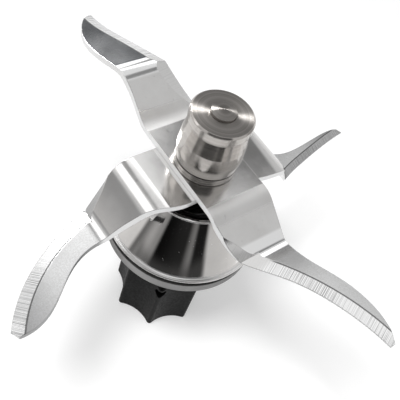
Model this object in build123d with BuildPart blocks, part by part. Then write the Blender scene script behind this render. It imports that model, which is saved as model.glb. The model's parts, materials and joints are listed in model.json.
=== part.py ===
from build123d import *
import math
import os
from dataclasses import dataclass

os.makedirs("parts", exist_ok=True)

# Blender blade assembly. The jar seat, the gasket's underside, is z = 0, and the shaft axis is Z.

# Fits and clearances
SEAT_GAP = 0.03
RUN_GAP = 0.05
BALL_GAP = 0.10

# Gasket
GASKET_INSET = 0.4
GASKET_W = 2.2
GASKET_H = 4.8
GASKET_ROUND = 0.5
GASKET_NECK_H = 1.5
GASKET_NECK_IN = 1.0

# Bearing cone with its flange
CONE_BASE_R = 19.05
CONE_H = 14.8
CONE_WALL = 1.2
CONE_FOOT_ROUND = 0.8
FLANGE_W = 0.95
FLANGE_T = 0.8
FLANGE_ROUND = 0.35
LIP_W = 1.57
LIP_ROUND = 0.5
LIP_CHAMFER = 0.8

# Base ring inside the cone's foot
BASE_RING_Z = 0.5
BASE_PLUG_H = 4.5
BASE_PLUG_GAP = 0.25

# Ball bearings
BEARING_BORE = 8.0
BEARING_OD = 19.0
BEARING_W = 6.0
BEARING_ROUND = 0.3
BALL_D = 3.0
BALL_COUNT = 8
RACE_LAND = 1.0
CAGE_T = 0.8
CAGE_W = 4.4

# Bearing sleeve
SLEEVE_WALL = 3.0
SPIGOT_STEP = 1.3
SLEEVE_DROP = 0.2
MOUTH_DEPTH = 2.3
MOUTH_WALL = 0.6
SLEEVE_END = 1.0
SLEEVE_CHAMFER = 0.5
SHOULDER_T = 0.8
SPACER_L = 11.1
SPACER_T = 1.1

# Lip seal
SEAL_DEPTH = 4.3
SEAL_SECTION = 2.75
SEAL_CASE_T = 0.6
SEAL_LEG_T = 0.6
SEAL_BASE_T = 0.8
SEAL_H = 3.3
SPRING_WIRE_R = 0.35

# Circlips
CLIP_T = 1.1
CLIP_GROOVE = 0.6
CLIP_W = 1.8
CLIP_MOUTH = 3.2

# Blade stack
BLADE_T = 1.5
BLADE_W = 16.4
BLADE_GAP = 4.7
EDGE_T = 0.3
BEND_R = 5.0
SOFT_BEND_R = 6.0

# Upper blade, arm that bends up
UP_REACH = 49.0
UP_FOLD = 14.4
UP_RISER = 13.2
UP_ANGLE = 36.0
UP_TIP_ANGLE = -8.0
UP_BEVEL = 3.5

# Upper blade, arm that bends down
DOWN_REACH = 56.3
DOWN_FOLD = 14.0
DOWN_RISER = 11.8
DOWN_ANGLE = -36.0
DOWN_TIP_ANGLE = 4.0
DOWN_BEVEL = 2.6

# Lower blade, both arms bend down
BROAD_REACH = 52.9
SLIM_REACH = 56.5
LOWER_FOLD = 17.6
LOWER_RISER = 14.5
LOWER_ANGLE = -55.0
LOWER_TIP_ANGLE = -5.0
BROAD_BEVEL = 3.2
SLIM_BEVEL = 2.0

# Shaft, from the blades' key to the coupling
SHAFT_END_STEP = 0.67
SHAFT_PROUD = 0.75
SHAFT_DOME = 0.5
KEY_STEP = 0.4
KEY_CUT = 0.57
TAIL_STEP = 0.5
TAIL_SHORT = 1.5

# Boss under the blades
BOSS_WALL = 2.0
BOSS_FLANGE_R = 8.0
BOSS_FLANGE_T = 1.6
BOSS_FOOT_H = 0.6

# Hub collar and washer
COLLAR_R = 7.3
COLLAR_H = 14.3
COLLAR_CHAMFER = 0.4
HEAD_H = 2.4
NECK_DEPTH = 0.4
NECK_H = 0.7
SHOULDER_OUT = 0.27
SHOULDER_H = 7.1
SHOULDER_ROUND = 0.5
BELLY_OUT = 0.5
BELLY_H = 3.2
BELLY_ROUND = 5.0
FOOT_OUT = 0.1
FOOT_GROOVE_DEPTH = 0.4
FOOT_GROOVE_H = 0.5
WASHER_LIP = 0.1
WASHER_T = 0.8

# Drive coupling
COUPLING_GAP = 1.0
COUPLING_H = 20.6
LOBES = 7
LOBE_POINT_R = 13.3
FLUTE_DEPTH = 3.2
LOBE_ROUND = 0.85
LOBE_HEADING = -42.8
COUPLING_CHAMFER = 0.5
INSERT_WALL = 1.53
PIN_R = 1.5
PIN_BORE_R = 0.9
PIN_L = 14.0
PIN_DROP = 2.7

# Heights of the housing, up from the jar seat
flange_top_z = GASKET_H + FLANGE_T
cone_top_z = flange_top_z + CONE_H
sleeve_top_z = cone_top_z - SLEEVE_DROP
mouth_floor_z = sleeve_top_z - MOUTH_DEPTH
seal_floor_z = mouth_floor_z - SEAL_DEPTH
upper_top_z = seal_floor_z - SHOULDER_T
spacer_top_z = upper_top_z - BEARING_W
spacer_bottom_z = spacer_top_z - SPACER_L
lower_bottom_z = spacer_bottom_z - BEARING_W
clip_bottom_z = lower_bottom_z - CLIP_T
sleeve_bottom_z = clip_bottom_z - SLEEVE_END
coupling_top_z = sleeve_bottom_z - COUPLING_GAP
coupling_bottom_z = coupling_top_z - COUPLING_H

# Heights of the rotor above the cone
lower_blade_z = cone_top_z + BLADE_GAP
upper_blade_z = lower_blade_z + BLADE_T
washer_z = upper_blade_z + BLADE_T
collar_z = washer_z + WASHER_T
collar_top_z = collar_z + COLLAR_H

# Radii worked out from the bearings
shaft_r = BEARING_BORE / 2 - SEAT_GAP
pitch_r = (BEARING_BORE + BEARING_OD) / 4
inner_land_r = pitch_r - RACE_LAND
outer_land_r = pitch_r + RACE_LAND
groove_r = BALL_D / 2 + BALL_GAP
spigot_r = BEARING_OD / 2 + SLEEVE_WALL
carrier_r = spigot_r - SPIGOT_STEP
cone_bore_r = carrier_r + SEAT_GAP
cone_top_r = cone_bore_r + LIP_W
boss_r = BEARING_BORE / 2 + BOSS_WALL
seal_r = boss_r + SEAL_SECTION
key_r = shaft_r - KEY_STEP
key_flats = 2 * (key_r - KEY_CUT)
shaft_end_r = key_r - SHAFT_END_STEP
tail_r = shaft_r - TAIL_STEP
insert_r = tail_r + INSERT_WALL

# Radii worked out from the cone's foot
flange_r = CONE_BASE_R + FLANGE_W
gasket_r = flange_r - GASKET_INSET
gasket_bore_r = gasket_r - GASKET_W

# The cone's inner face, one wall in from its outer face
cone_lean = (CONE_BASE_R - cone_top_r) / CONE_H
cone_inset = CONE_WALL * math.hypot(1, cone_lean)


def cone_inner_r(z):
    """Radius of the cone's inner face at a height."""
    return CONE_BASE_R - cone_lean * (z - flange_top_z) - cone_inset


# Housing: cone, gasket, base ring and sleeve
with BuildPart() as bearing_cone:
    with BuildSketch(Plane.XZ) as cone_section:
        with BuildLine():
            Polyline(
                (cone_bore_r, cone_top_z - LIP_CHAMFER),
                (cone_bore_r + LIP_CHAMFER, cone_top_z),
                (cone_top_r, cone_top_z),
                (CONE_BASE_R, flange_top_z),
                (flange_r, flange_top_z),
                (flange_r, GASKET_H),
                (cone_inner_r(GASKET_H), GASKET_H),
                (cone_inner_r(cone_top_z - CONE_WALL), cone_top_z - CONE_WALL),
                (cone_bore_r, cone_top_z - CONE_WALL),
                close=True,
            )
        make_face()
        foot = cone_section.vertices().sort_by_distance((CONE_BASE_R, flange_top_z))[0]
        fillet(foot, CONE_FOOT_ROUND)
        lip = cone_section.vertices().sort_by_distance((cone_top_r, cone_top_z))[0]
        fillet(lip, LIP_ROUND)
        rim = cone_section.vertices().group_by(Axis.X)[-1]
        fillet(rim, FLANGE_ROUND)
    revolve(axis=Axis.Z)

with BuildPart() as jar_gasket:
    with BuildSketch():
        Circle(gasket_r)
        Circle(gasket_bore_r, mode=Mode.SUBTRACT)
    extrude(amount=GASKET_H - GASKET_NECK_H)
    seats = jar_gasket.faces().sort_by(Axis.Z)
    fillet(seats[0].outer_wire().edges() + seats[-1].outer_wire().edges(), GASKET_ROUND)
    with BuildSketch(Plane.XY.offset(GASKET_H - GASKET_NECK_H)):
        Circle(gasket_r - GASKET_NECK_IN)
        Circle(gasket_bore_r, mode=Mode.SUBTRACT)
    extrude(amount=GASKET_NECK_H)

with BuildPart() as base_ring:
    with BuildSketch(Plane.XZ):
        with BuildLine():
            Polyline(
                (carrier_r + SEAT_GAP, BASE_RING_Z),
                (gasket_bore_r - SEAT_GAP, BASE_RING_Z),
                (gasket_bore_r - SEAT_GAP, GASKET_H),
                (cone_inner_r(GASKET_H) - BASE_PLUG_GAP, GASKET_H),
                (cone_inner_r(GASKET_H + BASE_PLUG_H) - BASE_PLUG_GAP, GASKET_H + BASE_PLUG_H),
                (carrier_r + SEAT_GAP, GASKET_H + BASE_PLUG_H),
                close=True,
            )
        make_face()
    revolve(axis=Axis.Z)

with BuildPart() as bearing_sleeve:
    with BuildSketch(Plane.XZ):
        with BuildLine():
            Polyline(
                (BEARING_OD / 2, sleeve_bottom_z),
                (spigot_r - SLEEVE_CHAMFER, sleeve_bottom_z),
                (spigot_r, sleeve_bottom_z + SLEEVE_CHAMFER),
                (spigot_r, BASE_RING_Z),
                (carrier_r, BASE_RING_Z),
                (carrier_r, sleeve_top_z),
                (carrier_r - MOUTH_WALL, sleeve_top_z),
                (carrier_r - MOUTH_WALL, mouth_floor_z),
                (seal_r + SEAT_GAP, mouth_floor_z),
                (seal_r + SEAT_GAP, seal_floor_z),
                (outer_land_r, seal_floor_z),
                (outer_land_r, upper_top_z),
                (BEARING_OD / 2, upper_top_z),
                (BEARING_OD / 2, lower_bottom_z),
                (BEARING_OD / 2 + CLIP_GROOVE, lower_bottom_z),
                (BEARING_OD / 2 + CLIP_GROOVE, clip_bottom_z),
                (BEARING_OD / 2, clip_bottom_z),
                close=True,
            )
        make_face()
    revolve(axis=Axis.Z)

# Lip seal in the sleeve's mouth
seal_top_z = seal_floor_z + SEAL_H
lip_r = boss_r + RUN_GAP
case_inner_r = seal_r - SEAL_CASE_T
web_top_z = seal_floor_z + SEAL_CASE_T
spring_pitch_r = lip_r + SEAL_LEG_T + SPRING_WIRE_R

with BuildPart() as seal_case:
    with BuildSketch(Plane.XZ):
        with BuildLine():
            Polyline(
                (lip_r + SEAL_LEG_T, seal_floor_z),
                (seal_r, seal_floor_z),
                (seal_r, seal_top_z),
                (case_inner_r, seal_top_z),
                (case_inner_r, web_top_z),
                (lip_r + SEAL_LEG_T, web_top_z),
                close=True,
            )
        make_face()
    revolve(axis=Axis.Z)

with BuildPart() as shaft_seal:
    with BuildSketch(Plane.XZ):
        with BuildLine():
            Polyline(
                (lip_r + SEAL_LEG_T, web_top_z),
                (case_inner_r, web_top_z),
                (case_inner_r, web_top_z + SEAL_BASE_T),
                (lip_r + SEAL_LEG_T, web_top_z + SEAL_BASE_T),
                (lip_r + SEAL_LEG_T, seal_top_z),
                (lip_r, seal_top_z - SEAL_LEG_T),
                (lip_r, web_top_z + SEAL_BASE_T),
                close=True,
            )
        make_face()
    revolve(axis=Axis.Z)

with BuildPart() as seal_spring:
    with Locations((0, 0, web_top_z + SEAL_BASE_T + SPRING_WIRE_R)):
        Torus(spring_pitch_r, SPRING_WIRE_R)

# Tubes and circlips that hold the bearings apart and in place
with BuildPart() as bearing_spacer:
    with BuildSketch(Plane.XY.offset(spacer_bottom_z)):
        Circle(BEARING_OD / 2 - SEAT_GAP)
        Circle(BEARING_OD / 2 - SPACER_T, mode=Mode.SUBTRACT)
    extrude(amount=SPACER_L)

with BuildPart() as inner_spacer:
    with BuildSketch(Plane.XY.offset(spacer_bottom_z)):
        Circle(BEARING_BORE / 2 + SPACER_T)
        Circle(BEARING_BORE / 2, mode=Mode.SUBTRACT)
    extrude(amount=SPACER_L)

with BuildPart() as bore_circlip:
    bore_clip_r = BEARING_OD / 2 + CLIP_GROOVE - SEAT_GAP
    with BuildSketch(Plane.XY.offset(clip_bottom_z)):
        Circle(bore_clip_r)
        Circle(bore_clip_r - CLIP_W, mode=Mode.SUBTRACT)
        with Locations((bore_clip_r, 0)):
            Rectangle(2 * CLIP_W + CLIP_MOUTH, CLIP_MOUTH, mode=Mode.SUBTRACT)
    extrude(amount=CLIP_T)

with BuildPart() as shaft_circlip:
    shaft_clip_r = shaft_r - CLIP_GROOVE + SEAT_GAP
    with BuildSketch(Plane.XY.offset(clip_bottom_z)):
        Circle(shaft_clip_r + CLIP_W)
        Circle(shaft_clip_r, mode=Mode.SUBTRACT)
        with Locations((shaft_clip_r + CLIP_W, 0)):
            Rectangle(2 * CLIP_W + CLIP_MOUTH, CLIP_MOUTH, mode=Mode.SUBTRACT)
    extrude(amount=CLIP_T)

# Two deep-groove ball bearings
bearing_mids = {
    "upper": upper_top_z - BEARING_W / 2,
    "lower": lower_bottom_z + BEARING_W / 2,
}
for place, mid_z in bearing_mids.items():
    bearing_plane = Plane.XY.offset(mid_z)

    with BuildPart(bearing_plane) as outer_ring:
        Cylinder(BEARING_OD / 2, BEARING_W)
        fillet(outer_ring.edges(), BEARING_ROUND)
        Cylinder(outer_land_r, BEARING_W, mode=Mode.SUBTRACT)
        Torus(pitch_r, groove_r, mode=Mode.SUBTRACT)
    outer_ring.part.label = f"{place}_bearing_outer"
    export_step(outer_ring.part, f"parts/{place}_bearing_outer.step")

    with BuildPart(bearing_plane) as inner_ring:
        Cylinder(inner_land_r, BEARING_W)
        Cylinder(BEARING_BORE / 2, BEARING_W, mode=Mode.SUBTRACT)
        Torus(pitch_r, groove_r, mode=Mode.SUBTRACT)
    inner_ring.part.label = f"{place}_bearing_inner"
    export_step(inner_ring.part, f"parts/{place}_bearing_inner.step")

    with BuildPart(bearing_plane) as ball_cage:
        Cylinder(pitch_r + CAGE_T / 2, CAGE_W)
        Cylinder(pitch_r - CAGE_T / 2, CAGE_W, mode=Mode.SUBTRACT)
        with PolarLocations(pitch_r, BALL_COUNT):
            Cylinder(groove_r, 2 * CAGE_T, rotation=(0, 90, 0), mode=Mode.SUBTRACT)
    ball_cage.part.label = f"{place}_ball_cage"
    export_step(ball_cage.part, f"parts/{place}_ball_cage.step")

    with BuildPart(bearing_plane) as balls:
        with PolarLocations(pitch_r, BALL_COUNT):
            Sphere(BALL_D / 2)
    balls.part.label = f"{place}_balls"
    export_step(balls.part, f"parts/{place}_balls.step")

# Shaft with its domed end, blade key, circlip groove, coupling tail and cross hole
pin_z = coupling_top_z - PIN_DROP
pin_heading = math.radians(LOBE_HEADING)
pin_plane = Plane(origin=(0, 0, pin_z), z_dir=(math.cos(pin_heading), math.sin(pin_heading), 0))
shaft_rim_z = collar_top_z + SHAFT_PROUD
dome_r = (shaft_end_r**2 + SHAFT_DOME**2) / (2 * SHAFT_DOME)

with BuildPart() as drive_shaft:
    with BuildSketch(Plane.XZ):
        with BuildLine():
            dome = RadiusArc((0, shaft_rim_z + SHAFT_DOME), (shaft_end_r, shaft_rim_z), dome_r)
            Polyline(
                dome @ 1,
                (shaft_end_r, washer_z),
                (key_r, washer_z),
                (key_r, lower_blade_z),
                (shaft_r, lower_blade_z),
                (shaft_r, lower_bottom_z),
                (shaft_r - CLIP_GROOVE, lower_bottom_z),
                (shaft_r - CLIP_GROOVE, clip_bottom_z),
                (shaft_r, clip_bottom_z),
                (shaft_r, coupling_top_z),
                (tail_r, coupling_top_z),
                (tail_r, coupling_bottom_z + TAIL_SHORT),
                (0, coupling_bottom_z + TAIL_SHORT),
                dome @ 0,
            )
        make_face()
    revolve(axis=Axis.Z)
    with BuildSketch(Plane.XY.offset(lower_blade_z)):
        Circle(key_r)
        Rectangle(2 * key_r, key_flats, mode=Mode.SUBTRACT)
    extrude(amount=2 * BLADE_T, mode=Mode.SUBTRACT)
    with BuildSketch(pin_plane):
        Circle(PIN_R + SEAT_GAP)
    extrude(amount=shaft_r, both=True, mode=Mode.SUBTRACT)

with BuildPart() as blade_boss:
    with BuildSketch(Plane.XZ):
        with BuildLine():
            Polyline(
                (BEARING_BORE / 2, upper_top_z),
                (inner_land_r - BEARING_ROUND, upper_top_z),
                (inner_land_r - BEARING_ROUND, upper_top_z + BOSS_FOOT_H),
                (boss_r, upper_top_z + BOSS_FOOT_H),
                (boss_r, lower_blade_z - BOSS_FLANGE_T),
                (BOSS_FLANGE_R, lower_blade_z - BOSS_FLANGE_T),
                (BOSS_FLANGE_R, lower_blade_z),
                (BEARING_BORE / 2, lower_blade_z),
                close=True,
            )
        make_face()
    revolve(axis=Axis.Z)


# Blades: folded sheet, cut to a plan outline and ground along the leading edges
@dataclass
class Arm:
    """One arm of a blade. Outlines run from root to tip as (distance out, distance to leading side)."""

    side: int
    fold: float
    riser: float
    rise: float
    tip_rise: float
    bend_r: float
    bevel: float
    edge: list
    spine: list

    def knee(self):
        """Second fold, as (distance out, height) of the middle of the sheet."""
        rise = math.radians(self.rise)
        return self.fold + self.riser * math.cos(rise), self.riser * math.sin(rise)

    def side_points(self, reach):
        """Folds and outer end of the middle of the sheet, along the blade."""
        knee_x, knee_z = self.knee()
        end_z = knee_z + (reach - knee_x) * math.tan(math.radians(self.tip_rise))
        points = [(self.fold, 0), (knee_x, knee_z), (reach, end_z)]
        return [(self.side * x, z) for x, z in points]

    def plan_points(self, outline):
        """Outline in the blade's plan, along and across the blade."""
        return [(self.side * x, -self.side * w) for x, w in outline]


half_w = BLADE_W / 2
stock_reach = 1.25 * max(UP_REACH, DOWN_REACH, BROAD_REACH, SLIM_REACH)
stock_half_w = 2 * BLADE_W
grind_over = BLADE_T / 3
grind_run_out = BLADE_T


def outline(reach, *shares):
    """Outline points, from shares of an arm's reach and of the blade's half width."""
    return [(reach * x, half_w * w) for x, w in shares]


up_arm = Arm(
    -1, UP_FOLD, UP_RISER, UP_ANGLE, UP_TIP_ANGLE, BEND_R, UP_BEVEL,
    edge=outline(UP_REACH, (0.276, 1), (0.482, 0.51), (0.7, 0.07), (0.886, -0.29), (1, -0.35)),
    spine=outline(UP_REACH, (0.408, -1), (0.592, -1.2), (0.755, -1.32), (0.898, -1.04), (0.994, -0.44)),
)
down_arm = Arm(
    1, DOWN_FOLD, DOWN_RISER, DOWN_ANGLE, DOWN_TIP_ANGLE, BEND_R, DOWN_BEVEL,
    edge=outline(DOWN_REACH, (0.273, 1), (0.42, 0.54), (0.575, -0.32), (0.758, -0.99), (1, -1.41)),
    spine=outline(DOWN_REACH, (0.4, -1), (0.542, -1.16), (0.689, -1.59), (0.815, -1.78), (1, -1.54)),
)
broad_arm = Arm(
    -1, LOWER_FOLD, LOWER_RISER, LOWER_ANGLE, LOWER_TIP_ANGLE, SOFT_BEND_R, BROAD_BEVEL,
    edge=outline(BROAD_REACH, (0.331, 1), (0.522, 0.82), (0.675, 0.43), (0.853, -0.3), (1, -1.4)),
    spine=outline(
        BROAD_REACH,
        (0.17, -1), (0.35, -0.68), (0.501, -0.29), (0.662, -0.57), (0.822, -1.39), (0.981, -1.65),
    ),
)
slim_arm = Arm(
    1, LOWER_FOLD, LOWER_RISER, LOWER_ANGLE, LOWER_TIP_ANGLE, SOFT_BEND_R, SLIM_BEVEL,
    edge=outline(
        SLIM_REACH, (0.04, 1), (0.19, 1.17), (0.31, 1.21), (0.467, 0.8), (0.644, 0.41), (1, -0.13)
    ),
    spine=outline(SLIM_REACH, (0.27, -1), (0.372, -0.7), (0.504, -0.12), (0.655, -0.07), (0.968, -0.27)),
)


def inset_edge(points, distance):
    """Cutting edge moved in towards the spine, starting outside the sheet and running past its tip."""
    root_x, root_w = points[0]
    moved = [(root_x, root_w + grind_run_out)]
    for before, here, after in zip(points, points[1:], points[2:] + points[-1:]):
        run = Vector(after[0] - before[0], after[1] - before[1]).normalized()
        moved.append((here[0] + run.Y * distance, here[1] - run.X * distance))
    past_tip = (moved[-1][0] + run.X * half_w, moved[-1][1] + run.Y * half_w)
    return moved, past_tip


def grind(arm, plan, start, slope, stretch):
    """Wedge that grinds the bevel on one straight stretch of an arm, kept to a side outline."""
    lean = math.radians(slope)
    start_x, start_z = start
    outward = plan.x_dir * arm.side
    foot = plan.origin + outward * start_x + Vector(0, 0, start_z - BLADE_T / 2 / math.cos(lean))
    along = outward * math.cos(lean) + Vector(0, 0, math.sin(lean))
    normal = Vector(0, 0, math.cos(lean)) - outward * math.sin(lean)
    underside = Plane(origin=foot, x_dir=along, z_dir=normal)
    upright = Plane(origin=plan.origin, x_dir=outward, z_dir=plan.y_dir * -arm.side)
    with BuildPart() as wedge:
        for height in (-grind_over, BLADE_T + grind_over):
            depth = arm.bevel * (height - EDGE_T) / (BLADE_T - EDGE_T)
            line, past_tip = inset_edge(arm.edge, depth)
            points = [((x - start_x) / math.cos(lean), -w) for x, w in line + [past_tip]]
            with BuildSketch(underside.offset(height)):
                with BuildLine():
                    Spline(*points[:-1])
                    Polyline(
                        points[-2],
                        points[-1],
                        (points[-1][0], -stock_half_w),
                        (points[0][0], -stock_half_w),
                        points[0],
                    )
                make_face()
        loft(ruled=True)
        with BuildSketch(upright):
            Polygon(*stretch, align=None)
        extrude(amount=stock_reach, both=True, mode=Mode.INTERSECT)
    return wedge.part


def grind_wedges(arm, plan):
    """Wedges for an arm's riser and tip, which meet in the plane that halves the second fold."""
    knee_x, knee_z = arm.knee()
    half_turn = math.radians((arm.rise + arm.tip_rise) / 2)
    across = (-stock_reach * math.sin(half_turn), stock_reach * math.cos(half_turn))
    above = (knee_x + across[0], knee_z + across[1])
    below = (knee_x - across[0], knee_z - across[1])
    riser_end = [(arm.fold, below[1]), below, above, (arm.fold, above[1])]
    tip_end = [below, (2 * stock_reach, below[1]), (2 * stock_reach, above[1]), above]
    riser = grind(arm, plan, (arm.fold, 0), arm.rise, riser_end)
    tip = grind(arm, plan, (knee_x, knee_z), arm.tip_rise, tip_end)
    return [riser, tip]


def make_blade(heading, bottom_z, arms):
    """Blade along a heading, from the arm that points along it and the arm that points back."""
    ahead, back = arms
    turn = math.radians(heading)
    middle = (0, 0, bottom_z + BLADE_T / 2)
    plan = Plane(origin=middle, x_dir=(math.cos(turn), math.sin(turn), 0), z_dir=(0, 0, 1))
    upright = Plane(origin=middle, x_dir=plan.x_dir, z_dir=-plan.y_dir)
    folds = back.side_points(stock_reach)[::-1] + ahead.side_points(stock_reach)
    bends = [BEND_R, back.bend_r, ahead.bend_r, BEND_R]
    wedges = []
    for arm in arms:
        wedges += grind_wedges(arm, plan)
    with BuildPart() as blade:
        with BuildSketch(upright):
            with BuildLine():
                FilletPolyline(*folds, radius=bends)
            trace(line_width=BLADE_T)
        extrude(amount=stock_half_w, both=True)
        with BuildSketch(plan):
            with BuildLine():
                for arm, other in ((ahead, back), (back, ahead)):
                    edge = arm.plan_points(arm.edge)
                    spine = arm.plan_points(arm.spine)
                    Spline(*edge)
                    Line(edge[-1], spine[-1])
                    Spline(*spine[::-1])
                    Line(spine[0], other.plan_points(other.edge)[0])
            make_face()
        extrude(amount=stock_reach, both=True, mode=Mode.INTERSECT)
        for wedge in wedges:
            add(wedge, mode=Mode.SUBTRACT)
        with BuildSketch(Plane.XY.offset(bottom_z)):
            Circle(key_r + SEAT_GAP)
            Rectangle(2 * BLADE_W, key_flats + 2 * SEAT_GAP, mode=Mode.INTERSECT)
        extrude(amount=BLADE_T, mode=Mode.SUBTRACT)
    return blade


upper_blade = make_blade(0, upper_blade_z, (down_arm, up_arm))
lower_blade = make_blade(90, lower_blade_z, (slim_arm, broad_arm))

# Washer and turned collar that clamp the blades
with BuildPart() as hub_washer:
    with BuildSketch(Plane.XY.offset(washer_z)):
        Circle(COLLAR_R + WASHER_LIP)
        Circle(shaft_end_r + SEAT_GAP, mode=Mode.SUBTRACT)
    extrude(amount=WASHER_T)

head_z = collar_top_z - HEAD_H
neck_z = head_z - NECK_H
neck_r = COLLAR_R - NECK_DEPTH
foot_groove_r = COLLAR_R - FOOT_GROOVE_DEPTH
barrel_foot_z = collar_z + FOOT_GROOVE_H

with BuildPart() as hub_collar:
    with BuildSketch(Plane.XZ) as collar_section:
        with BuildLine():
            Polyline(
                (COLLAR_R + FOOT_OUT, barrel_foot_z),
                (COLLAR_R + BELLY_OUT, collar_z + BELLY_H),
                (COLLAR_R + SHOULDER_OUT, collar_z + SHOULDER_H),
                (neck_r, neck_z),
                (neck_r, head_z),
                (COLLAR_R, head_z),
                (COLLAR_R, collar_top_z - COLLAR_CHAMFER),
                (COLLAR_R - COLLAR_CHAMFER, collar_top_z),
                (shaft_end_r + SEAT_GAP, collar_top_z),
                (shaft_end_r + SEAT_GAP, collar_z),
                (foot_groove_r, collar_z),
                (foot_groove_r, barrel_foot_z),
                close=True,
            )
        make_face()
        fillet(collar_section.vertices().sort_by(Axis.X)[-1], BELLY_ROUND)
        shoulder_point = (COLLAR_R + SHOULDER_OUT, collar_z + SHOULDER_H)
        shoulder = collar_section.vertices().sort_by_distance(shoulder_point)[0]
        fillet(shoulder, SHOULDER_ROUND)
    revolve(axis=Axis.Z)

# Seven-lobed coupling on a hexagonal core, cross-pinned to the shaft
with BuildPart() as drive_coupling:
    with BuildSketch(Plane.XY.offset(coupling_bottom_z)) as star:
        with BuildLine():
            for lobe in range(LOBES):
                headings = [math.radians(LOBE_HEADING + (lobe + part) * 360 / LOBES) for part in (0, 0.5, 1)]
                radii = (LOBE_POINT_R, LOBE_POINT_R - FLUTE_DEPTH, LOBE_POINT_R)
                ThreePointArc(*[(r * math.cos(a), r * math.sin(a)) for r, a in zip(radii, headings)])
        make_face()
        fillet(star.vertices(), LOBE_ROUND)
    extrude(amount=COUPLING_H)
    chamfer(drive_coupling.edges().group_by(Axis.Z)[0], COUPLING_CHAMFER)
    chamfer(drive_coupling.edges().group_by(Axis.Z)[-1], COUPLING_CHAMFER)
    with BuildSketch(Plane.XY.offset(coupling_bottom_z)):
        RegularPolygon(insert_r + SEAT_GAP, 6, major_radius=False, rotation=LOBE_HEADING)
    extrude(amount=COUPLING_H, mode=Mode.SUBTRACT)
    with BuildSketch(pin_plane):
        Circle(PIN_R + SEAT_GAP)
    extrude(amount=LOBE_POINT_R, both=True, mode=Mode.SUBTRACT)

with BuildPart() as coupling_insert:
    with BuildSketch(Plane.XY.offset(coupling_bottom_z + TAIL_SHORT)):
        RegularPolygon(insert_r, 6, major_radius=False, rotation=LOBE_HEADING)
        Circle(tail_r + SEAT_GAP, mode=Mode.SUBTRACT)
    extrude(amount=COUPLING_H - TAIL_SHORT)
    with BuildSketch(pin_plane):
        Circle(PIN_R + SEAT_GAP)
    extrude(amount=2 * insert_r, both=True, mode=Mode.SUBTRACT)

with BuildPart() as coupling_pin:
    with BuildSketch(pin_plane):
        Circle(PIN_R)
        Circle(PIN_BORE_R, mode=Mode.SUBTRACT)
    extrude(amount=PIN_L / 2, both=True)

named_pieces = {
    "bearing_cone": bearing_cone,
    "jar_gasket": jar_gasket,
    "base_ring": base_ring,
    "bearing_sleeve": bearing_sleeve,
    "seal_case": seal_case,
    "shaft_seal": shaft_seal,
    "seal_spring": seal_spring,
    "bearing_spacer": bearing_spacer,
    "inner_spacer": inner_spacer,
    "bore_circlip": bore_circlip,
    "shaft_circlip": shaft_circlip,
    "drive_shaft": drive_shaft,
    "blade_boss": blade_boss,
    "upper_blade": upper_blade,
    "lower_blade": lower_blade,
    "hub_washer": hub_washer,
    "hub_collar": hub_collar,
    "drive_coupling": drive_coupling,
    "coupling_insert": coupling_insert,
    "coupling_pin": coupling_pin,
}
for label, piece in named_pieces.items():
    piece.part.label = label
    export_step(piece.part, f"parts/{label}.step")
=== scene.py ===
import json
import math

import bpy
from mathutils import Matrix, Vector


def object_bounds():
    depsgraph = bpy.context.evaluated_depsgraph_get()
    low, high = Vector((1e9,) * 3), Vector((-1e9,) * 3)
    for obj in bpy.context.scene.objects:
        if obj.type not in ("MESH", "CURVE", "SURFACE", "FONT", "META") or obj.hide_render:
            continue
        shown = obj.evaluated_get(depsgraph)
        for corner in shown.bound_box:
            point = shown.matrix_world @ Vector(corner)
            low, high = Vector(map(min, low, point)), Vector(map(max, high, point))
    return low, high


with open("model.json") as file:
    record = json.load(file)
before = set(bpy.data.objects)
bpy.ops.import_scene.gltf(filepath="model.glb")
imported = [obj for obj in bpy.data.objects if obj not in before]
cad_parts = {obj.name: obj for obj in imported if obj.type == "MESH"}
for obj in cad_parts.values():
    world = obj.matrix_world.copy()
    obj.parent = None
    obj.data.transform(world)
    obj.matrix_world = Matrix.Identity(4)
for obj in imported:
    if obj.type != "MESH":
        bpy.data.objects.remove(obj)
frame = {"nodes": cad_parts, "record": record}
cad_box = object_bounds()
scene = bpy.context.scene
scene.view_settings.view_transform = "Standard"

FLOOR_Z = cad_box[0][2]
CAMERA_AZIMUTH = math.radians(-51.5)


# Node helpers
def add_node(tree, kind, inputs=None, **settings):
    """Adds a node, sets its properties, and fills its inputs with values or links."""
    node = tree.nodes.new(kind)
    for key, value in settings.items():
        setattr(node, key, value)
    for key, value in (inputs or {}).items():
        if isinstance(value, bpy.types.NodeSocket):
            tree.links.new(value, node.inputs[key])
        else:
            node.inputs[key].default_value = value
    return node


def calc(tree, operation, *values, clamp=False):
    """A math node's result."""
    inputs = dict(enumerate(values))
    return add_node(tree, "ShaderNodeMath", inputs, operation=operation, use_clamp=clamp).outputs[0]


def ramp(tree, value, low, high, bottom=0.0, top=1.0):
    """A smooth step from bottom to top while the value goes from low to high."""
    inputs = {"Value": value, "From Min": low, "From Max": high, "To Min": bottom, "To Max": top}
    return add_node(tree, "ShaderNodeMapRange", inputs, interpolation_type="SMOOTHSTEP").outputs[0]


def mix(tree, share, first, second):
    """A mix of two numbers."""
    return add_node(tree, "ShaderNodeMix", {0: share, 2: first, 3: second}).outputs[0]


def blend(tree, share, first, second):
    """A mix of two colours."""
    inputs = {0: share, 6: first, 7: second}
    return add_node(tree, "ShaderNodeMix", inputs, data_type="RGBA").outputs[2]


def noise(tree, vector, scale, detail=3.0, roughness=0.55):
    """Fractal noise, from 0 to 1."""
    inputs = {"Vector": vector, "Scale": scale, "Detail": detail, "Roughness": roughness}
    return add_node(tree, "ShaderNodeTexNoise", inputs).outputs["Fac"]


def stripes(tree, coordinate, scale, detail=2.0):
    """Noise along one coordinate, for fine parallel lines."""
    inputs = {"W": coordinate, "Scale": scale, "Detail": detail}
    return add_node(tree, "ShaderNodeTexNoise", inputs, noise_dimensions="1D").outputs["Fac"]


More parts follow.
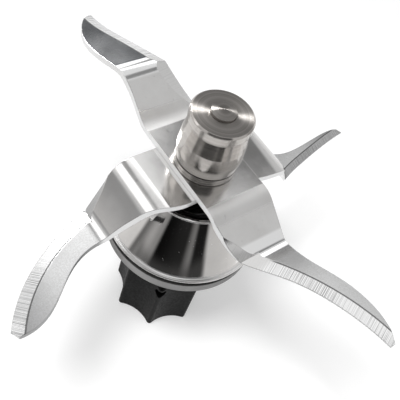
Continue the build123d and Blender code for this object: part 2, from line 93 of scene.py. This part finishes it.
def bump(tree, height, strength, distance, normal=None):
    """A bumped normal."""
    inputs = {"Height": height, "Strength": strength, "Distance": distance}
    if normal is not None:
        inputs["Normal"] = normal
    return add_node(tree, "ShaderNodeBump", inputs).outputs[0]


def axis_distance(tree, place):
    """How far a point is from the shaft's axis."""
    xyz = add_node(tree, "ShaderNodeSeparateXYZ", {0: place})
    flat = add_node(tree, "ShaderNodeCombineXYZ", {"X": xyz.outputs["X"], "Y": xyz.outputs["Y"]}).outputs[0]
    return add_node(tree, "ShaderNodeVectorMath", {0: flat}, operation="LENGTH").outputs["Value"]


def grey(level, warm=0.0):
    """A near-neutral colour."""
    return (level * (1 + warm), level, level * (1 - warm), 1)


def new_material(name):
    """A material with an empty tree, its object coordinates and its output."""
    material = bpy.data.materials.new(name)
    material.use_nodes = True
    tree = material.node_tree
    tree.nodes.clear()
    place = add_node(tree, "ShaderNodeTexCoord").outputs["Object"]
    output = add_node(tree, "ShaderNodeOutputMaterial")
    return material, tree, place, output


def shade(tree, output, inputs):
    """The material's surface."""
    surface = add_node(tree, "ShaderNodeBsdfPrincipled", inputs)
    tree.links.new(surface.outputs[0], output.inputs["Surface"])


# Materials
GRIND_PITCH = 4400.0  # lines per metre, about
LATHE_RISE = 1.37  # keeps the rings on a turned face and on its side apart
EDGE_ROUND = 0.0002
HUB_EDGE_ROUND = 0.00025
RIDGE_DEPTH = 0.00017
TIP_START = 0.026
TIP_FADE_START = 0.034
TIP_FADE_END = 0.054
BEND_HALF = 0.0026
GROOVE_FOOT = 0.0028
LIP_RADIUS = 0.0187
LIP_ROUGHNESS = 0.32


def blade_steel(
    name, across, headings, tip_tops, line_tone, bevel_tone, riser_tone, end_tone, wall_tone,
    dull_bends=(), bright_bends=(),
):
    """Satin sheet with bevels ground across the edges.

    Headings are the cutting edges' own, in degrees, and tip tops the height at the axis and the slope of
    each tip's upper face, one per arm. Tones are those of the bevels' lines, the bevels between them, the
    bevel on the riser, the far end of a tip, painted darker there as painted shade, and the tip's cut wall.
    Bends are places along the blade; the bright bends are polished smoother and also painted lighter, a
    painted highlight. A near-black line painted along each tip's ridge is painted shade.
    """
    material, tree, place, output = new_material(name)
    xyz = add_node(tree, "ShaderNodeSeparateXYZ", {0: place})
    geometry = add_node(tree, "ShaderNodeNewGeometry")
    own_normal = add_node(
        tree, "ShaderNodeVectorTransform", {0: geometry.outputs["True Normal"]},
        vector_type="NORMAL", convert_from="WORLD", convert_to="OBJECT",
    ).outputs[0]
    lean = add_node(tree, "ShaderNodeSeparateXYZ", {0: own_normal})
    sideways = calc(tree, "ABSOLUTE", lean.outputs[across])
    wall = ramp(tree, sideways, 0.72, 0.8)
    not_wall = ramp(tree, sideways, 0.72, 0.8, 1.0, 0.0)
    ground = calc(tree, "MULTIPLY", ramp(tree, sideways, 0.08, 0.16), not_wall)

    along = xyz.outputs["Y" if across == "X" else "X"]
    ahead = calc(tree, "GREATER_THAN", along, 0.0)
    tip = ramp(tree, calc(tree, "ABSOLUTE", along), TIP_START, TIP_START + 0.002)
    lines = []
    for heading in headings:
        x_part = calc(tree, "MULTIPLY", xyz.outputs["X"], math.cos(math.radians(heading)))
        lines.append(calc(tree, "MULTIPLY_ADD", xyz.outputs["Y"], math.sin(math.radians(heading)), x_part))
    edge_run = mix(tree, ahead, lines[1], lines[0])
    fine = stripes(tree, edge_run, GRIND_PITCH, 1.0)
    coarse = stripes(tree, edge_run, GRIND_PITCH / 5, 1.0)
    depth = ramp(tree, noise(tree, place, 110.0, 2.0), 0.35, 0.65, 0.45, 1.0)
    scratch = calc(tree, "MULTIPLY", ramp(tree, fine, 0.58, 0.36), ramp(tree, coarse, 0.65, 0.35, 0.7, 1.0))
    scratch = calc(tree, "MULTIPLY", scratch, calc(tree, "MULTIPLY", depth, mix(tree, tip, 0.4, 1.0)))

    def near_bends(places):
        """1 on the bends at these places along the blade."""
        near = 0.0
        for spot in places:
            away = calc(tree, "ABSOLUTE", calc(tree, "SUBTRACT", along, spot))
            near = calc(tree, "MAXIMUM", ramp(tree, away, BEND_HALF, BEND_HALF * 0.7, 0.0, 1.0), near)
        return near

    rounded = add_node(tree, "ShaderNodeBevel", {"Radius": EDGE_ROUND}, samples=8).outputs[0]
    tops = [calc(tree, "MULTIPLY_ADD", along, slope, height) for height, slope in tip_tops]
    below_top = calc(tree, "SUBTRACT", mix(tree, ahead, tops[1], tops[0]), xyz.outputs["Z"])
    ridge = calc(tree, "MULTIPLY", ramp(tree, below_top, RIDGE_DEPTH, RIDGE_DEPTH * 0.6), tip)

    cloud = noise(tree, place, 90.0, 4.0)
    speck = noise(tree, place, 3200.0, 2.0)
    mark = ramp(tree, noise(tree, place, 900.0, 2.0, 0.4), 0.7, 0.76, 0.0, 0.25)
    sheet = blend(tree, ramp(tree, cloud, 0.3, 0.7), grey(0.6, 0.012), grey(0.67, 0.008))
    sheet = blend(tree, mark, sheet, grey(0.35, 0.02))
    grainy = blend(tree, ramp(tree, speck, 0.35, 0.65), grey(0.62), grey(0.72, -0.008))
    sheet = blend(tree, calc(tree, "MULTIPLY", tip, 0.7), sheet, grainy)
    # Painted shade: the far end of each tip is darkened in colour towards its end tone.
    far_end = ramp(tree, calc(tree, "ABSOLUTE", along), TIP_FADE_START, TIP_FADE_END)
    sheet = blend(tree, far_end, sheet, blend(tree, 0.25, grey(end_tone), grainy))
    # The bright bends are polished smoother and also painted pale grey: partly real polish, partly a
    # painted highlight.
    polish_and_highlight = near_bends(bright_bends)
    sheet = blend(tree, polish_and_highlight, sheet, grey(0.86))
    bevel = blend(tree, scratch, grey(bevel_tone), grey(line_tone))
    bevel = blend(tree, mix(tree, tip, 0.7, 0.0), bevel, grey(riser_tone, 0.01))
    # Painted shade: a near-black line along each tip's ridge, where the face meets the bevel.
    bevel = blend(tree, calc(tree, "MULTIPLY", ridge, 0.9), bevel, grey(0.08))
    colour = blend(tree, ground, sheet, bevel)
    colour = blend(tree, wall, colour, blend(tree, tip, grey(0.74), grey(wall_tone)))

    gloss = ramp(tree, cloud, 0.3, 0.7, 0.13, 0.18)
    gloss = calc(tree, "MULTIPLY_ADD", tip, 0.02, gloss)
    gloss = mix(tree, near_bends(dull_bends), gloss, 0.45)
    gloss = mix(tree, polish_and_highlight, gloss, 0.1)
    gloss = mix(tree, ground, gloss, 0.21)
    gloss = mix(tree, wall, gloss, 0.35)
    grain = bump(tree, speck, 0.03, 0.0001, rounded)
    height = calc(tree, "MULTIPLY", fine, ground)
    normal = bump(tree, height, 0.2, 0.0001, grain)
    shade(tree, output, {"Base Color": colour, "Metallic": 1.0, "Roughness": gloss, "Normal": normal})
    return material


def hub_steel(name):
    """Turned stainless: rings round the axis, with a warm tint."""
    material, tree, place, output = new_material(name)
    height = add_node(tree, "ShaderNodeSeparateXYZ", {0: place}).outputs["Z"]
    lathe_run = calc(tree, "MULTIPLY_ADD", height, LATHE_RISE, axis_distance(tree, place))
    fine = stripes(tree, lathe_run, 4200.0, 3.0)
    coarse = stripes(tree, lathe_run, 900.0)
    cloud = noise(tree, place, 160.0, 3.0)
    true_normal = add_node(tree, "ShaderNodeNewGeometry").outputs["True Normal"]
    upward = add_node(tree, "ShaderNodeSeparateXYZ", {0: true_normal}).outputs["Z"]
    faced = ramp(tree, calc(tree, "ABSOLUTE", upward), 0.8, 0.92)
    # Painted shade: the turned steel is coloured dark on its sides, and the upward faces are painted
    # lighter.
    colour = blend(tree, ramp(tree, coarse, 0.3, 0.7), grey(0.18, 0.06), grey(0.28, 0.05))
    colour = blend(tree, ramp(tree, cloud, 0.55, 0.75, 0.0, 0.35), colour, grey(0.28, 0.12))
    colour = blend(tree, faced, blend(tree, 0.6, colour, grey(0.6, 0.05)), colour)
    gloss = mix(tree, faced, ramp(tree, fine, 0.3, 0.7, 0.09, 0.14), ramp(tree, fine, 0.3, 0.7, 0.36, 0.41))
    tangent = add_node(tree, "ShaderNodeTangent", direction_type="RADIAL", axis="Z").outputs[0]
    rounded = add_node(tree, "ShaderNodeBevel", {"Radius": HUB_EDGE_ROUND}, samples=6).outputs[0]
    normal = bump(tree, fine, 0.1, 0.0001, rounded)
    shade(tree, output, {
        "Base Color": colour, "Metallic": 1.0, "Roughness": gloss, "Anisotropic": 1.0,
        "Anisotropic Rotation": 0.25, "Tangent": tangent, "Normal": normal,
    })
    return material


def polished_steel(name, level, gloss, warm):
    """Near-mirror steel with fine hazing and a few specks, duller on the flange's lip."""
    material, tree, place, output = new_material(name)
    cloud = noise(tree, place, 120.0, 4.0)
    speck = noise(tree, place, 1500.0, 1.0)
    colour = blend(tree, ramp(tree, cloud, 0.3, 0.7), grey(level * 0.92, warm), grey(level, warm))
    dust = ramp(tree, speck, 0.73, 0.78)
    colour = blend(tree, dust, colour, grey(0.9))
    roughness = calc(tree, "MULTIPLY_ADD", dust, 0.4, ramp(tree, cloud, 0.35, 0.7, gloss, gloss * 1.6))
    lip = ramp(tree, axis_distance(tree, place), LIP_RADIUS, LIP_RADIUS + 0.0004)
    roughness = mix(tree, lip, roughness, LIP_ROUGHNESS)
    rounded = add_node(tree, "ShaderNodeBevel", {"Radius": EDGE_ROUND}, samples=6).outputs[0]
    normal = bump(tree, cloud, 0.01, 0.0002, rounded)
    shade(tree, output, {"Base Color": colour, "Metallic": 1.0, "Roughness": roughness, "Normal": normal})
    return material


def machined_metal(name, dark, light, gloss):
    """Plain turned or pressed metal with fine lathe rings."""
    material, tree, place, output = new_material(name)
    height = add_node(tree, "ShaderNodeSeparateXYZ", {0: place}).outputs["Z"]
    rings = stripes(tree, height, 3000.0)
    cloud = noise(tree, place, 200.0)
    colour = blend(tree, ramp(tree, cloud, 0.3, 0.7), dark, light)
    roughness = ramp(tree, rings, 0.3, 0.7, gloss, gloss + 0.12)
    normal = bump(tree, rings, 0.1, 0.0001)
    shade(tree, output, {"Base Color": colour, "Metallic": 1.0, "Roughness": roughness, "Normal": normal})
    return material


def matte(name, dark, light, gloss, grain, strength, specular=0.5):
    """Moulded rubber or plastic: fine matte grain over a slow change of tone."""
    material, tree, place, output = new_material(name)
    cloud = noise(tree, place, 150.0)
    skin = noise(tree, place, grain, 2.0)
    colour = blend(tree, ramp(tree, cloud, 0.3, 0.7), dark, light)
    roughness = ramp(tree, skin, 0.3, 0.7, gloss - 0.08, gloss + 0.08)
    normal = bump(tree, skin, strength, 0.0002)
    shade(tree, output, {
        "Base Color": colour, "Roughness": roughness, "Specular IOR Level": specular, "Normal": normal,
    })
    return material


def gasket_rubber(name):
    """Grey silicone, with painted shade darkening the groove under the flange."""
    material, tree, place, output = new_material(name)
    height = add_node(tree, "ShaderNodeSeparateXYZ", {0: place}).outputs["Z"]
    cloud = noise(tree, place, 150.0)
    skin = noise(tree, place, 2200.0, 2.0)
    colour = blend(tree, ramp(tree, cloud, 0.3, 0.7), grey(0.22, 0.01), grey(0.3, 0.01))
    groove_shade = ramp(tree, calc(tree, "MULTIPLY_ADD", skin, 0.00012, height), GROOVE_FOOT, GROOVE_FOOT + 0.0003)
    # Painted shade: the band under the flange is painted near black where the groove's shade falls.
    colour = blend(tree, groove_shade, colour, grey(0.02, 0.03))
    roughness = ramp(tree, skin, 0.3, 0.7, 0.52, 0.68)
    normal = bump(tree, skin, 0.15, 0.0002)
    shade(tree, output, {"Base Color": colour, "Roughness": roughness, "Normal": normal})
    return material


slot_materials = {
    "hub_steel": hub_steel("hub_steel"),
    "cone_steel": polished_steel("cone_steel", 0.74, 0.05, 0.008),
    "bearing_steel": polished_steel("bearing_steel", 0.66, 0.12, 0.0),
    # Painted shade: the sleeve is coloured near black to stand for the dark inside of the cone's mouth.
    "sleeve_metal": machined_metal("sleeve_metal", grey(0.03), grey(0.05), 0.4),
    "clip_steel": machined_metal("clip_steel", grey(0.16), grey(0.24), 0.35),
    "cage_brass": machined_metal("cage_brass", (0.55, 0.4, 0.17, 1), (0.66, 0.5, 0.24, 1), 0.3),
    "gasket_rubber": gasket_rubber("gasket_rubber"),
    "seal_rubber": matte("seal_rubber", grey(0.018), grey(0.03), 0.55, 2200.0, 0.2),
    "base_plastic": matte("base_plastic", grey(0.03), grey(0.05), 0.5, 1800.0, 0.15),
    "coupling_plastic": matte("coupling_plastic", grey(0.004), grey(0.009), 0.5, 1600.0, 0.04, 0.1),
}
node_materials = {
    "upper_blade": blade_steel(
        "upper_blade_steel", "Y", (26.6, 15.6), ((0.01952, 0.06993), (0.03939, 0.14054)),
        line_tone=0.36, bevel_tone=0.84, riser_tone=0.6, end_tone=0.5, wall_tone=0.74,
        dull_bends=(-0.0144, 0.014), bright_bends=(-0.0251, 0.0236),
    ),
    # Painted shade: the lower blade's riser, end and wall tones are much darker than the upper blade's for
    # the same steel.
    "lower_blade": blade_steel(
        "lower_blade_steel", "X", (104.0, -54.0), ((0.01699, -0.08749), (0.01699, 0.08749)),
        line_tone=0.28, bevel_tone=0.66, riser_tone=0.24, end_tone=0.2, wall_tone=0.3,
    ),
    # Painted shade: the pin is coloured near black to stand for the dark hole it sits in.
    "coupling_pin": machined_metal("pin_black", grey(0.015), grey(0.03), 0.45),
}
SMOOTH_LIMIT = math.radians(16)
for subpart in frame["record"]["subparts"]:
    node = frame["nodes"][subpart["node"]]
    material = node_materials.get(subpart["node"]) or slot_materials[subpart["material_slot"]]
    node.data.materials.clear()
    node.data.materials.append(material)
    node.data.shade_smooth()
    node.data.set_sharp_from_angle(angle=SMOOTH_LIMIT)


# The white floor and the plain pale room, a full white to the eye, in mirrors and through glass
def seen_directly(tree):
    """1 for camera, mirror and see-through rays, 0 for the light that falls on things."""
    rays = add_node(tree, "ShaderNodeLightPath").outputs
    seen = calc(tree, "ADD", rays["Is Camera Ray"], rays["Is Glossy Ray"])
    return calc(tree, "ADD", seen, rays["Is Transmission Ray"], clamp=True)


FLOOR_RADIUS = 3.0
NEAR_GLOW = 0.38
FAR_GLOW = 0.7
ROOM_LIGHT = 0.44
bpy.ops.mesh.primitive_circle_add(
    vertices=128, radius=FLOOR_RADIUS, fill_type="NGON", location=(0, 0, FLOOR_Z),
)
floor = bpy.context.object
floor.name = "floor"
floor_material, tree, place, output = new_material("floor_white")
paper = ramp(tree, noise(tree, place, 3.0), 0.3, 0.7, 0.64, 0.66)
paper_colour = add_node(tree, "ShaderNodeCombineColor", {0: paper, 1: paper, 2: paper}).outputs[0]
diffuse = add_node(tree, "ShaderNodeBsdfDiffuse", {"Color": paper_colour}).outputs[0]
distance = add_node(tree, "ShaderNodeVectorMath", {0: place}, operation="LENGTH").outputs["Value"]
glow_level = ramp(tree, distance, 0.2, 0.9, NEAR_GLOW, FAR_GLOW)
glow_strength = calc(tree, "MULTIPLY", seen_directly(tree), glow_level)
glow = add_node(tree, "ShaderNodeEmission", {"Strength": glow_strength}).outputs[0]
surface = add_node(tree, "ShaderNodeAddShader", {0: diffuse, 1: glow}).outputs[0]
tree.links.new(surface, output.inputs["Surface"])
floor.data.materials.append(floor_material)

world = bpy.data.worlds.new("studio")
world.use_nodes = True
scene.world = world
tree = world.node_tree
tree.nodes.clear()
room_strength = mix(tree, seen_directly(tree), ROOM_LIGHT, 1.0)
room = add_node(tree, "ShaderNodeBackground", {"Color": grey(1.0), "Strength": room_strength})
world_output = add_node(tree, "ShaderNodeOutputWorld")
tree.links.new(room.outputs[0], world_output.inputs["Surface"])


def around(azimuth_degrees, distance, height):
    """A place seen at an angle from the camera's side of the axis."""
    angle = CAMERA_AZIMUTH + math.radians(azimuth_degrees)
    return Vector((distance * math.cos(angle), distance * math.sin(angle), height))


def add_lamp(name, size, energy, location):
    """A square lamp aimed at the origin."""
    light = bpy.data.lights.new(name, "AREA")
    light.shape = "RECTANGLE"
    light.size = size
    light.size_y = size
    light.energy = energy
    lamp = bpy.data.objects.new(name, light)
    lamp.location = location
    lamp.rotation_euler = (-lamp.location).to_track_quat("-Z", "Y").to_euler()
    scene.collection.objects.link(lamp)
    return lamp


# Key light from high up on the left, in front, for the floor's shadow
key_lamp = add_lamp("key", 0.28, 7.0, around(-40, 0.352, 0.872))
key_lamp.visible_glossy = False
# Small bare lamp at the back left, only for the sparkle on turned metal
spark_lamp = add_lamp("spark", 0.14, 3.0, around(-133, 0.465, 0.375))
spark_lamp.visible_diffuse = False


# Studio panels and dark cards, there only for the metal to mirror
def mirror_only(obj):
    """Keeps a studio panel out of every ray but reflections."""
    obj.visible_camera = False
    obj.visible_diffuse = False
    obj.visible_transmission = False
    obj.visible_shadow = False


panel_material, tree, place, output = new_material("studio_panels")
sight = add_node(tree, "ShaderNodeVectorMath", {0: place}, operation="NORMALIZE").outputs[0]
xyz = add_node(tree, "ShaderNodeSeparateXYZ", {0: sight})
azimuth = calc(tree, "SUBTRACT", calc(tree, "ARCTAN2", xyz.outputs["Y"], xyz.outputs["X"]), CAMERA_AZIMUTH)
elevation = calc(tree, "ARCSINE", xyz.outputs["Z"])


def zone(middle, half_width, low, high, soft):
    """A soft-edged patch of the dome, in degrees from the camera's side and up from the horizon."""
    turned = calc(tree, "SUBTRACT", azimuth, math.radians(middle))
    turned = calc(tree, "ABSOLUTE", calc(tree, "WRAP", turned, math.pi, -math.pi))
    edge = math.radians(soft)
    side = ramp(tree, turned, math.radians(half_width) - edge, math.radians(half_width) + edge, 1.0, 0.0)
    foot = ramp(tree, elevation, math.radians(low) - edge, math.radians(low) + edge)
    head = ramp(tree, elevation, math.radians(high) - edge, math.radians(high) + edge, 1.0, 0.0)
    return calc(tree, "MULTIPLY", side, calc(tree, "MULTIPLY", foot, head))


LOW_LEVEL = 0.92
ROOM_LEVEL = 0.76
TOP_LEVEL = 1.05
level = ramp(tree, elevation, math.radians(8), math.radians(14), LOW_LEVEL, ROOM_LEVEL)
level = mix(tree, ramp(tree, elevation, math.radians(62), math.radians(68)), level, TOP_LEVEL)
back_left = zone(-161, 13, 12, 31.5, 2)
for patch, patch_level in (
    (zone(-65, 22, -4, 17, 4), 0.4),
    (zone(118, 14, -4, 24, 4), 0.45),
    (zone(-100, 30, 16, 47, 3), 1.0),
    (zone(-136, 8, 14, 47, 3), 1.6),
    (zone(-78, 14, 30, 55, 2), 1.9),
    (zone(18, 42, 14, 55, 4), 0.1),
    (zone(-176, 5, 42, 51, 1.5), 0.45),
    (zone(177, 8, 8, 51, 2), 0.2),
    (zone(-161, 10, 33, 51, 1.5), 1.5),
    (back_left, 0.05),
    (zone(114, 11, 49, 61, 2), 0.25),
    (zone(163, 23, 52, 58, 1), 1.8),
    (zone(-148, 26, 52, 61.5, 1.5), 1.9),
    (zone(-104, 10, 54, 64, 2), 0.4),
):
    level = mix(tree, patch, level, patch_level)
tint = blend(tree, back_left, grey(1.0), (0.88, 0.98, 1.12, 1))
panel_light = add_node(tree, "ShaderNodeEmission", {"Color": tint, "Strength": level}).outputs[0]
tree.links.new(panel_light, output.inputs["Surface"])
panel_material.cycles.emission_sampling = "NONE"
DOME_RADIUS = 2.5
bpy.ops.mesh.primitive_uv_sphere_add(segments=64, ring_count=32, radius=DOME_RADIUS)
dome = bpy.context.object
dome.name = "studio_panels"
dome.data.materials.append(panel_material)
mirror_only(dome)

# Low curved card in front of the polished cone, dark in the middle
CARD_START = -80.0
CARD_END = 105.0
CARD_DISTANCE = 0.1
CARD_TOP = 0.03
CARD_FADE = 0.015
CARD_MIDDLE = 5.0
card_material, tree, place, output = new_material("low_card")
xyz = add_node(tree, "ShaderNodeSeparateXYZ", {0: place})
turned = calc(tree, "SUBTRACT", calc(tree, "ARCTAN2", xyz.outputs["Y"], xyz.outputs["X"]), CAMERA_AZIMUTH)
turned = calc(tree, "WRAP", turned, math.pi, -math.pi)
card_inputs = {"Value": turned, "From Min": math.radians(CARD_START), "From Max": math.radians(CARD_END)}
share = add_node(tree, "ShaderNodeMapRange", card_inputs).outputs[0]
tones = add_node(tree, "ShaderNodeValToRGB", {"Fac": share})
tones.color_ramp.interpolation = "EASE"
card_tones = (
    (-80, 0.9), (-49, 0.75), (-43, 0.16), (-30, 0.42), (-21, 0.3), (-15, 0.005),
    (16, 0.02), (26, 0.2), (32, 0.012), (42, 0.012), (50, 0.62), (105, 0.85),
)
stops = tones.color_ramp.elements
while len(stops) < len(card_tones):
    stops.new(1.0)
for stop, (angle, tone) in zip(stops, card_tones):
    stop.position = (angle - CARD_START) / (CARD_END - CARD_START)
    stop.color = grey(tone, 0.02)
off_middle = calc(tree, "ABSOLUTE", calc(tree, "SUBTRACT", turned, math.radians(CARD_MIDDLE)))
middle = ramp(tree, off_middle, math.radians(45), math.radians(38))
low = calc(tree, "MULTIPLY", ramp(tree, xyz.outputs["Z"], -0.0065, -0.0125, 0.0, 0.7), middle)
card_tone = blend(tree, low, tones.outputs["Color"], grey(0.07, 0.02))
card_light = add_node(tree, "ShaderNodeEmission", {"Color": card_tone}).outputs[0]
clear = add_node(tree, "ShaderNodeBsdfTransparent").outputs[0]
card_fade = ramp(tree, xyz.outputs["Z"], CARD_TOP - CARD_FADE, CARD_TOP)
card_surface = add_node(tree, "ShaderNodeMixShader", {0: card_fade, 1: card_light, 2: clear}).outputs[0]
tree.links.new(card_surface, output.inputs["Surface"])
card_material.cycles.emission_sampling = "NONE"
CARD_STEPS = 60
rows = []
for step in range(CARD_STEPS + 1):
    angle = CARD_START + (CARD_END - CARD_START) * step / CARD_STEPS
    rows.append(around(angle, CARD_DISTANCE, FLOOR_Z + 0.0005))
    rows.append(around(angle, CARD_DISTANCE, CARD_TOP))
strips = [(2 * step, 2 * step + 2, 2 * step + 3, 2 * step + 1) for step in range(CARD_STEPS)]
card_mesh = bpy.data.meshes.new("low_card")
card_mesh.from_pydata(rows, [], strips)
card_mesh.materials.append(card_material)
card = bpy.data.objects.new("low_card", card_mesh)
scene.collection.objects.link(card)
mirror_only(card)

# Camera at the photograph's viewing angle
camera = bpy.data.cameras.new("camera")
camera.lens = 58.5
camera.sensor_width = 36.0
camera.clip_start = 0.001
camera_object = bpy.data.objects.new("camera", camera)
camera_object.location = (0.06282, -0.07897, 0.13835)
camera_object.rotation_euler = (0.64017, -0.24091, 0.95818)
scene.collection.objects.link(camera_object)
scene.camera = camera_object
